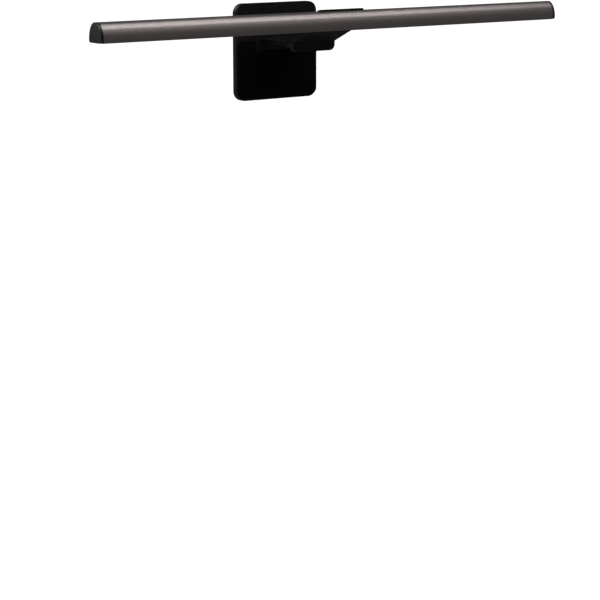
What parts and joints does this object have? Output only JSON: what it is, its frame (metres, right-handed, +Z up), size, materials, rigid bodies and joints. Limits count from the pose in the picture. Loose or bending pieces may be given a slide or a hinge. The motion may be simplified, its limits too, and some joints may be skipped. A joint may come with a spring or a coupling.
{
  "type": "monitor light bar",
  "caption": "Slim D-section aluminium light bar on a tilting saddle, with an arm that hooks over a screen's top edge and a hinged counterweight module with a back light.",
  "frame": {"origin": "middle of the seat pad's underside, which rests on the screen's top edge", "axes": "+X along the bar to the viewer's right, +Y back over the screen, +Z up"},
  "size_m": [0.5, 0.1294, 0.089],
  "materials": {
    "bronze_aluminium": "satin anodised, fine-grained",
    "cap_plastic": "matte, fine spark texture",
    "soft_black_plastic": "matte, fine spark texture",
    "black_plastic": "matte, fine spark texture",
    "silicone": "matte rubber",
    "frosted_lens": "frosted, translucent",
    "white_board": "white solder mask",
    "green_board": "green solder mask",
    "light_chip": "phosphor",
    "white_reflector": "bright white",
    "component": "moulded package",
    "plated_steel": "zinc plated",
    "frame_steel": "black powder coat",
    "weight_steel": "plain sawn steel",
    "spring_brass": "spring bronze",
    "flex_film": "amber film"
  },
  "bodies": {
    "clamp": {"arm_frame": "frame_steel", "arm_cover": "soft_black_plastic", "neck_cover": "soft_black_plastic", "front_hook": "black_plastic", "lip_pad": "silicone", "seat_pad": "silicone", "flex_cable": "flex_film", "arm_screws": "plated_steel", "tilt_pin": "plated_steel", "tilt_washers": "spring_brass", "tilt_caps": "cap_plastic", "hinge_pin": "frame_steel", "hinge_washers": "spring_brass"},
    "light_bar": {"bar_housing": "bronze_aluminium", "end_cap_left": "cap_plastic", "end_cap_right": "cap_plastic", "bottom_frame": "black_plastic", "lens_strip": "frosted_lens", "led_board": "white_board", "led_chips": "light_chip", "reflector": "white_reflector", "bar_driver_board": "green_board", "bar_board_parts": "component", "nut_plate": "plated_steel", "saddle": "soft_black_plastic", "saddle_screws": "plated_steel"},
    "rear_module": {"hinge_bracket": "frame_steel", "bracket_screws": "frame_steel", "backing_plate": "plated_steel", "module_front_plate": "soft_black_plastic", "rear_pad": "silicone", "module_back_shell": "black_plastic", "back_diffuser": "frosted_lens", "backlight_board": "white_board", "backlight_chips": "light_chip", "counterweight": "weight_steel", "module_driver_board": "green_board", "module_board_parts": "component", "usb_c_port": "plated_steel", "module_screws": "plated_steel"}
  },
  "joints": [
    {"name": "bar_tilt", "type": "hinge", "parent": "clamp", "child": "light_bar", "pos_m": [0, -0.0488, 0.024], "axis": [1, 0, 0], "range_deg": [-20, 20]},
    {"name": "clamp_hinge", "type": "hinge", "parent": "clamp", "child": "rear_module", "pos_m": [0, 0.026, 0.003], "axis": [1, 0, 0], "range_deg": [-55, 25]}
  ]
}
